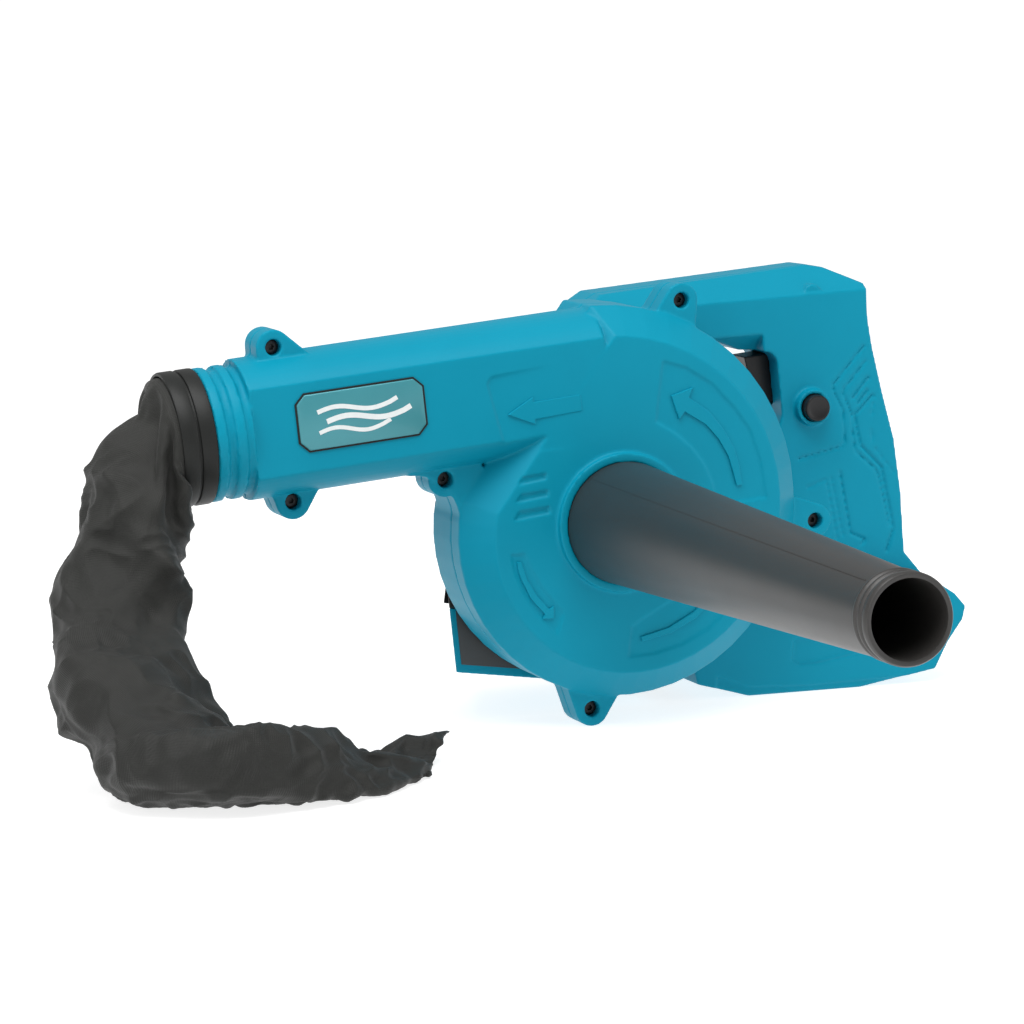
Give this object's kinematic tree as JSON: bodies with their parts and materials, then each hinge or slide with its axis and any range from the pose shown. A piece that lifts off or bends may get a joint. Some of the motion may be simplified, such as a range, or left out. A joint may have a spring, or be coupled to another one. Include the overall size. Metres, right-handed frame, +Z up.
{
  "type": "cordless leaf blower and vacuum",
  "caption": "Compact cordless leaf blower set up for collecting: round nozzle on the fan inlet, fabric dust bag on the outlet, closed handle over a slide-in battery",
  "frame": {"origin": "on the floor under the middle of the foot's flat, halfway through the foot's depth", "axes": "+Z up, -Y out of the nozzle, +X from the dust bag's side towards the handle's back"},
  "size_m": [0.4851, 0.437, 0.2033],
  "materials": {
    "housing_plastic": "satin moulded teal, fine grain",
    "badge_coat": "grey teal satin lacquer",
    "black_plastic": "black moulded, fine grain",
    "trigger_plastic": "black moulded, polished by fingers",
    "bag_fabric": "thin charcoal plain weave",
    "steel": "bright turned or drawn steel",
    "black_steel": "black oxide",
    "laminated_steel": "stacked sheet with varnished winding",
    "copper": "turned copper",
    "ferrite": "sintered, matte",
    "carbon": "pressed carbon",
    "board_laminate": "green solder mask",
    "red_lead": "soft insulation",
    "black_lead": "soft insulation",
    "cell_wrap": "shrink film",
    "brass_contact": "stamped strip",
    "label_film": "dark printed film, blank"
  },
  "bodies": {
    "tool": {"front_shell": "housing_plastic", "rear_shell": "housing_plastic", "grip_front_shell": "housing_plastic", "grip_back_shell": "housing_plastic", "badge_plate": "badge_coat", "front_bearing": "steel", "rear_bearing": "steel", "motor_can": "steel", "motor_magnets": "ferrite", "motor_end_cap": "black_plastic", "motor_brushes": "carbon", "motor_screws": "black_steel", "switch_body": "black_plastic", "trigger_spring": "steel", "lock_spring": "steel", "control_board": "board_laminate", "terminal_block": "black_plastic", "battery_leads": "red_lead", "motor_leads": "black_lead", "shell_screws": "black_steel", "grip_screws": "black_steel"},
    "rotor": {"motor_shaft": "steel", "fan_wheel": "black_plastic", "wheel_washer": "steel", "wheel_nut": "steel", "armature": "laminated_steel", "commutator": "copper"},
    "nozzle_body": {"nozzle": "black_plastic"},
    "bag": {"bag_collar": "black_plastic", "dust_bag": "bag_fabric"},
    "battery": {"battery_case": "housing_plastic", "battery_cover": "black_plastic", "battery_cells": "cell_wrap", "battery_contacts": "brass_contact", "battery_label": "label_film", "battery_screws": "black_steel", "latch_spring": "steel"},
    "latch": {"battery_latch": "trigger_plastic"},
    "trigger_body": {"trigger": "trigger_plastic"},
    "lock": {"lock_button": "trigger_plastic"}
  },
  "joints": [
    {"name": "rotor_spin", "type": "hinge", "parent": "tool", "child": "rotor", "pos_m": [-0.115, -0.096, 0.09642], "axis": [0, 1, 0], "continuous": true},
    {"name": "trigger_pull", "type": "slide", "parent": "tool", "child": "trigger_body", "axis": [0.9954, 0, 0.0958], "range_m": [0, 0.006], "stiffness_N_per_m": 400, "springref_m": -0.002, "deforming": ["trigger_spring"]},
    {"name": "lock_press", "type": "slide", "parent": "tool", "child": "lock", "axis": [0, 1, 0], "range_m": [0, 0.003], "stiffness_N_per_m": 300, "springref_m": -0.002, "deforming": ["lock_spring"]},
    {"name": "battery_slide", "type": "slide", "parent": "tool", "child": "battery", "axis": [-0.9903, 0, 0.1392], "range_m": [0, 0.1]},
    {"name": "latch_press", "type": "slide", "parent": "battery", "child": "latch", "axis": [-0.1392, 0, -0.9903], "range_m": [0, 0.003], "stiffness_N_per_m": 300, "springref_m": -0.002, "deforming": ["latch_spring"]},
    {"name": "nozzle_pull", "type": "slide", "parent": "tool", "child": "nozzle_body", "axis": [0, -1, 0], "range_m": [0, 0.03]},
    {"name": "bag_pull", "type": "slide", "parent": "tool", "child": "bag", "axis": [-0.9954, 0, -0.0958], "range_m": [0, 0.03]}
  ]
}
